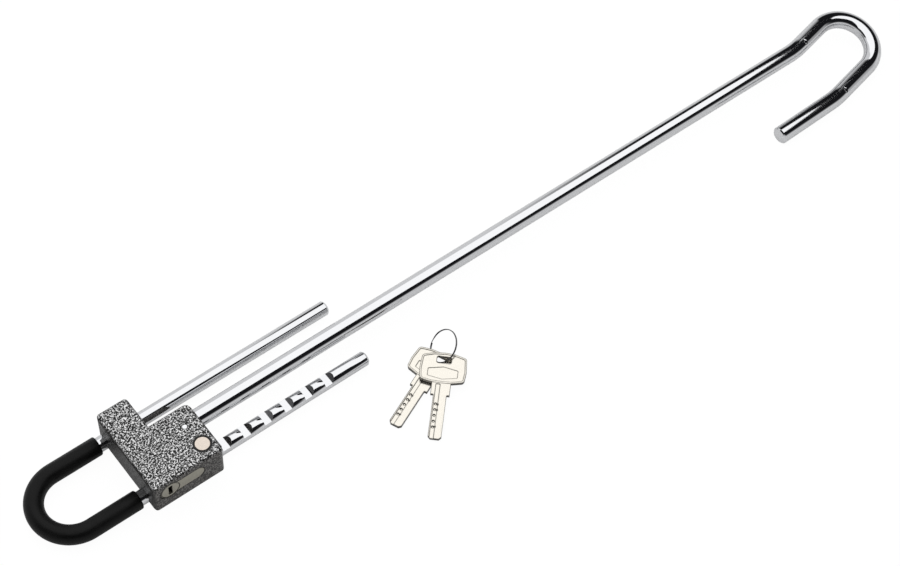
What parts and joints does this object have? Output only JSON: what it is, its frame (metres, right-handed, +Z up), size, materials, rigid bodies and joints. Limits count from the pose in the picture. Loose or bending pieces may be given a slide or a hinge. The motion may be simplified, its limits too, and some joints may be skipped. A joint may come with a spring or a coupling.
{
  "type": "hooked padlock",
  "caption": "Adjustable padlock with a sleeved U-shackle, a notched leg, a push button and a long rod ending in a hook, with its keys.",
  "frame": {"origin": "on the lock body's base, half way along the main block, under the notched leg", "axes": "+X along the rod towards the hook, +Y from the keyway side to the plain leg, +Z up from the base"},
  "size_m": [0.6685, 0.1249, 0.0262],
  "materials": {
    "hammered_enamel": "hammered enamel",
    "chromed_steel": "polished chrome",
    "sleeve_plastic": "satin black plastic",
    "cylinder_metal": "satin",
    "button_nickel": "satin nickel",
    "black_trim": "satin",
    "brass": "turned",
    "spring_steel": "bright",
    "zinc_steel": "zinc plated",
    "key_nickel": "nickel plated"
  },
  "bodies": {
    "lock": {"lock_body": "hammered_enamel", "bottom_cover": "hammered_enamel", "cover_screws": "zinc_steel", "rod_retaining_pin": "zinc_steel", "cylinder_housing": "cylinder_metal", "driver_pins": "zinc_steel", "pin_springs": "spring_steel", "chamber_strip": "brass", "cylinder_screw": "zinc_steel", "button_ring": "black_trim"},
    "shackle_bar": {"shackle": "chromed_steel", "shackle_sleeve": "sleeve_plastic"},
    "hook": {"hook_rod": "chromed_steel"},
    "plug": {"cylinder_plug": "cylinder_metal", "key_pins": "brass", "plug_clip": "spring_steel", "cam_lug": "zinc_steel", "cam_screw": "zinc_steel"},
    "button": {"push_button": "button_nickel", "latch_bolt": "zinc_steel", "button_spring": "spring_steel", "latch_bar": "zinc_steel", "latch_finger": "spring_steel", "finger_rivet": "zinc_steel"},
    "ring": {"key_ring": "spring_steel"},
    "front_key_body": {"front_key": "key_nickel"},
    "rear_key_body": {"rear_key": "key_nickel"}
  },
  "joints": [
    {"name": "shackle_slide", "type": "slide", "parent": "lock", "child": "shackle_bar", "axis": [1, 0, 0], "range_m": [-0.1824, 0]},
    {"name": "hook_swivel", "type": "hinge", "parent": "lock", "child": "hook", "pos_m": [0.025, 0.0202, 0.015], "axis": [1, 0, 0], "continuous": true},
    {"name": "plug_turn", "type": "hinge", "parent": "lock", "child": "plug", "pos_m": [-0.0138, -0.012, 0.0166], "axis": [0, 1, 0], "range_deg": [0, 90]},
    {"name": "button_press", "type": "slide", "parent": "lock", "child": "button", "axis": [0, 0, 1], "range_m": [-0.0026, 0], "stiffness_N_per_m": 600, "springref_m": 0.0015, "deforming": ["button_spring", "latch_finger"]},
    {"name": "ring_lift", "type": "slide", "parent": "lock", "child": "ring", "axis": [0, 0, 1], "range_m": [0, 0.06]},
    {"name": "front_key_swing", "type": "hinge", "parent": "ring", "child": "front_key_body", "pos_m": [0.1773, -0.0322, 0.007], "axis": [0, 0, 1], "range_deg": [-3, 20]},
    {"name": "rear_key_swing", "type": "hinge", "parent": "ring", "child": "rear_key_body", "pos_m": [0.175, -0.0285, 0.003], "axis": [0, 0, 1], "range_deg": [-8, 3]}
  ]
}
